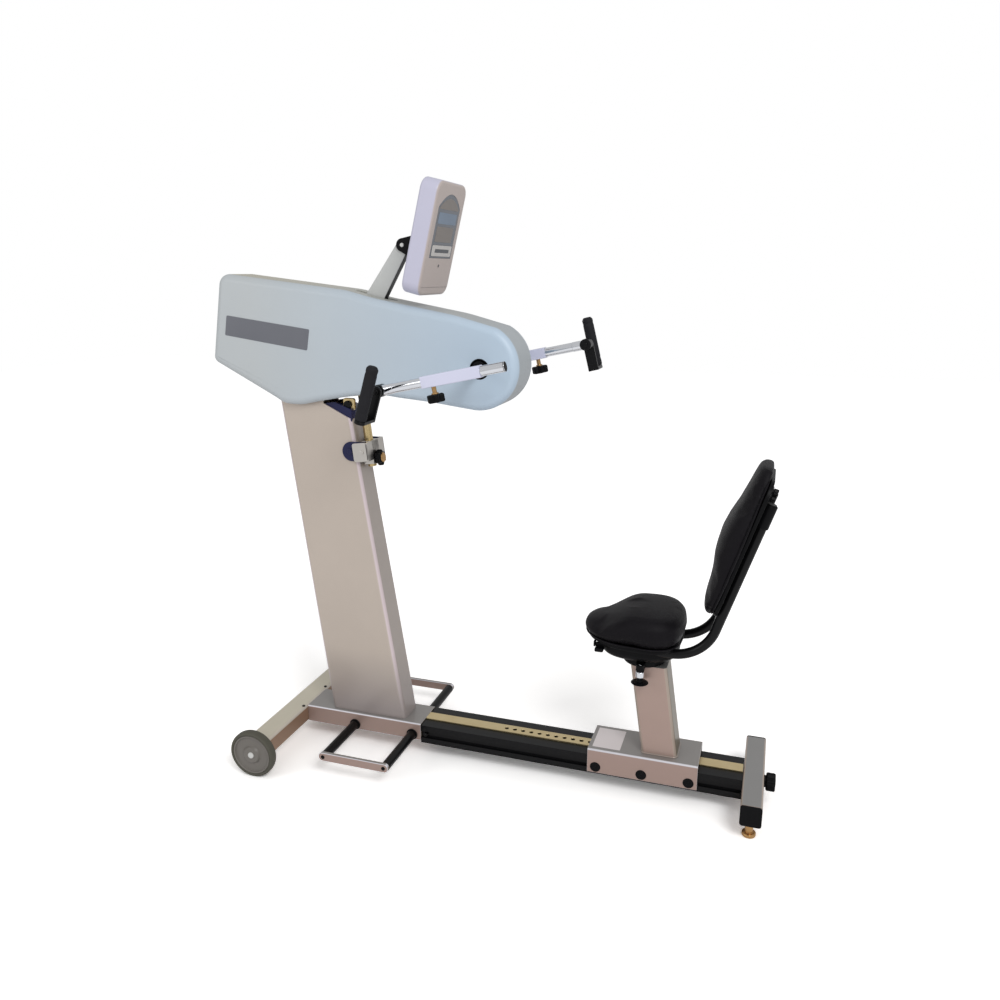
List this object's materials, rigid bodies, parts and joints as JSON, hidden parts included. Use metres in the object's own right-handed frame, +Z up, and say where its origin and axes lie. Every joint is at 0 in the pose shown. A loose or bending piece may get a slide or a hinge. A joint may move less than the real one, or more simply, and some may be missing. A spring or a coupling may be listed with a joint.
{
  "type": "arm ergometer",
  "caption": "Upper-body cycle: a tilting crank head on a leaning column, with a swivel seat that slides along a rail behind it.",
  "frame": {"origin": "centre of the footprint on the floor", "axes": "+X along the rail from the column to the seat, +Z up, -Y the near side in the picture"},
  "size_m": [1.3986, 0.54, 1.4031],
  "materials": {
    "silver_paint": "satin warm silver enamel",
    "black_paint": "satin black enamel",
    "navy_paint": "dark navy enamel",
    "shell": "pale blue-grey moulded plastic",
    "black_plastic": "fine-grained black plastic",
    "grey_plastic": "grey moulded plastic",
    "tyre": "dark grey-green solid rubber",
    "rubber": "black foam and rubber",
    "vinyl": "grained black vinyl",
    "chrome": "bright chrome plate",
    "zinc": "yellow zinc plate",
    "bright_steel": "plain machined steel",
    "brass": "turned brass",
    "screen": "smoked display panel"
  },
  "bodies": {
    "base": {"base_box": "silver_paint", "wheel_cross_tube": "silver_paint", "foot_rod_front": "black_paint", "foot_rod_rear": "black_paint", "foot_bar_near": "silver_paint", "foot_bar_far": "silver_paint", "column": "silver_paint", "head_pivot_bolt": "bright_steel", "rail": "black_paint", "rail_index_strip": "bright_steel", "rail_bumper": "rubber", "rear_crossbar": "silver_paint", "crossbar_cap_near": "black_plastic", "crossbar_cap_far": "black_plastic", "strut_yoke": "navy_paint"},
    "wheel_near": {"tyre_near": "tyre", "wheel_disc_near": "grey_plastic"},
    "wheel_far": {"tyre_far": "tyre", "wheel_disc_far": "grey_plastic"},
    "levelling_foot_near": {"levelling_foot_near": "brass"},
    "levelling_foot_far": {"levelling_foot_far": "brass"},
    "crossbar_knob": {"crossbar_knob": "black_plastic"},
    "carriage": {"carriage": "silver_paint", "glide_near": "black_plastic", "glide_far": "black_plastic", "seat_post": "silver_paint", "swivel_base": "black_plastic"},
    "index_pin": {"index_pin": "bright_steel"},
    "swivel_plunger": {"swivel_plunger": "black_plastic"},
    "seat": {"seat_pan": "black_plastic", "seat_cushion": "vinyl", "back_frame": "black_paint"},
    "seat_lever": {"seat_lever": "black_plastic"},
    "back": {"back_board": "black_plastic", "back_cushion": "vinyl"},
    "back_knob": {"back_knob": "black_plastic"},
    "head": {"head_shell_near": "shell", "head_shell_far": "shell", "head_frame": "zinc", "drive_belt": "rubber", "console_arm": "silver_paint"},
    "console": {"console_knuckle": "black_plastic", "console_case": "shell", "console_screen": "screen"},
    "flywheel": {"flywheel": "bright_steel"},
    "crank": {"crankshaft": "black_paint", "arm_sleeve_near": "silver_paint", "arm_sleeve_far": "silver_paint"},
    "arm_rod_near": {"arm_rod_near": "chrome"},
    "arm_rod_far": {"arm_rod_far": "chrome"},
    "arm_knob_near": {"arm_knob_near": "black_plastic"},
    "arm_knob_far": {"arm_knob_far": "black_plastic"},
    "handle_near": {"handle_bracket_near": "black_paint", "grip_near": "rubber"},
    "handle_far": {"handle_bracket_far": "black_paint", "grip_far": "rubber"},
    "clamp": {"strut_clamp": "bright_steel"},
    "strut": {"tilt_strut": "zinc"},
    "clamp_knob": {"clamp_knob": "black_plastic"}
  },
  "joints": [
    {"name": "wheel_near_spin", "type": "hinge", "parent": "base", "child": "wheel_near", "pos_m": [-0.5358, -0.256, 0.06], "axis": [0, 1, 0], "continuous": true},
    {"name": "wheel_far_spin", "type": "hinge", "parent": "base", "child": "wheel_far", "pos_m": [-0.5358, 0.256, 0.06], "axis": [0, 1, 0], "continuous": true},
    {"name": "levelling_near", "type": "slide", "parent": "base", "child": "levelling_foot_near", "axis": [0, 0, 1], "range_m": [0, 0.01]},
    {"name": "levelling_far", "type": "slide", "parent": "base", "child": "levelling_foot_far", "axis": [0, 0, 1], "range_m": [0, 0.01]},
    {"name": "crossbar_knob_turn", "type": "hinge", "parent": "base", "child": "crossbar_knob", "pos_m": [0.69, 0, 0.066], "axis": [1, 0, 0], "continuous": true},
    {"name": "carriage_slide", "type": "slide", "parent": "base", "child": "carriage", "axis": [1, 0, 0], "range_m": [-0.3888, 0.0648]},
    {"name": "index_pin_lift", "type": "slide", "parent": "carriage", "child": "index_pin", "axis": [0, 0, 1], "range_m": [-0.012, 0.004]},
    {"name": "swivel_plunger_pull", "type": "slide", "parent": "carriage", "child": "swivel_plunger", "axis": [0, 0, 1], "range_m": [0, 0.009]},
    {"name": "seat_swivel", "type": "hinge", "parent": "carriage", "child": "seat", "pos_m": [0.3847, 0, 0.39], "axis": [0, 0, 1], "continuous": true},
    {"name": "seat_lever_lift", "type": "hinge", "parent": "seat", "child": "seat_lever", "pos_m": [0.2897, -0.057, 0.3841], "axis": [1, 0, 0], "range_deg": [-18, 0]},
    {"name": "back_slide", "type": "slide", "parent": "seat", "child": "back", "axis": [0.309, 0, 0.9511], "range_m": [-0.01, 0.035]},
    {"name": "back_knob_turn", "type": "hinge", "parent": "back", "child": "back_knob", "pos_m": [0.6429, 0, 0.7511], "axis": [0.9511, 0, -0.309], "continuous": true},
    {"name": "head_tilt", "type": "hinge", "parent": "base", "child": "head", "pos_m": [-0.4683, 0, 0.945], "axis": [0, 1, 0], "range_deg": [-6, 6]},
    {"name": "clamp_swing", "type": "hinge", "parent": "base", "child": "clamp", "pos_m": [-0.3073, 0, 0.795], "axis": [0, 1, 0], "range_deg": [-1, 1]},
    {"name": "strut_slide", "type": "slide", "parent": "clamp", "child": "strut", "axis": [-0.1126, 0, 0.9936], "range_m": [-0.016, 0.016]},
    {"name": "clamp_knob_turn", "type": "hinge", "parent": "clamp", "child": "clamp_knob", "pos_m": [-0.3048, 0, 0.7731], "axis": [0.9936, 0, 0.1126], "continuous": true},
    {"name": "console_tilt", "type": "hinge", "parent": "head", "child": "console", "pos_m": [-0.1973, 0, 1.274], "axis": [0, 1, 0], "range_deg": [-12, 20]},
    {"name": "crank_spin", "type": "hinge", "parent": "head", "child": "crank", "pos_m": [0.0022, 0, 1.006], "axis": [0, 1, 0], "continuous": true},
    {"name": "flywheel_spin", "type": "hinge", "parent": "head", "child": "flywheel", "pos_m": [-0.2603, 0, 1.036], "axis": [0, 1, 0], "continuous": true},
    {"name": "arm_near_slide", "type": "slide", "parent": "crank", "child": "arm_rod_near", "axis": [-0.9781, 0, -0.2079], "range_m": [-0.068, 0.05]},
    {"name": "arm_far_slide", "type": "slide", "parent": "crank", "child": "arm_rod_far", "axis": [0.9781, 0, 0.2079], "range_m": [-0.068, 0.05]},
    {"name": "arm_knob_near_turn", "type": "hinge", "parent": "crank", "child": "arm_knob_near", "pos_m": [-0.0619, -0.18, 0.9924], "axis": [-0.2079, 0, 0.9781], "continuous": true},
    {"name": "arm_knob_far_turn", "type": "hinge", "parent": "crank", "child": "arm_knob_far", "pos_m": [0.0663, 0.18, 1.0196], "axis": [-0.2079, 0, 0.9781], "continuous": true},
    {"name": "handle_near_swivel", "type": "hinge", "parent": "arm_rod_near", "child": "handle_near", "pos_m": [-0.1846, -0.18, 0.9663], "axis": [0, 1, 0], "continuous": true},
    {"name": "handle_far_swivel", "type": "hinge", "parent": "arm_rod_far", "child": "handle_far", "pos_m": [0.189, 0.18, 1.0457], "axis": [0, 1, 0], "continuous": true}
  ],
  "couplings": [
    {"joint": "clamp_swing", "follows": "head_tilt", "ratio": -0.113},
    {"joint": "strut_slide", "follows": "head_tilt", "m_per_rad": -0.1427},
    {"joint": "flywheel_spin", "follows": "crank_spin", "ratio": 3.0909}
  ]
}
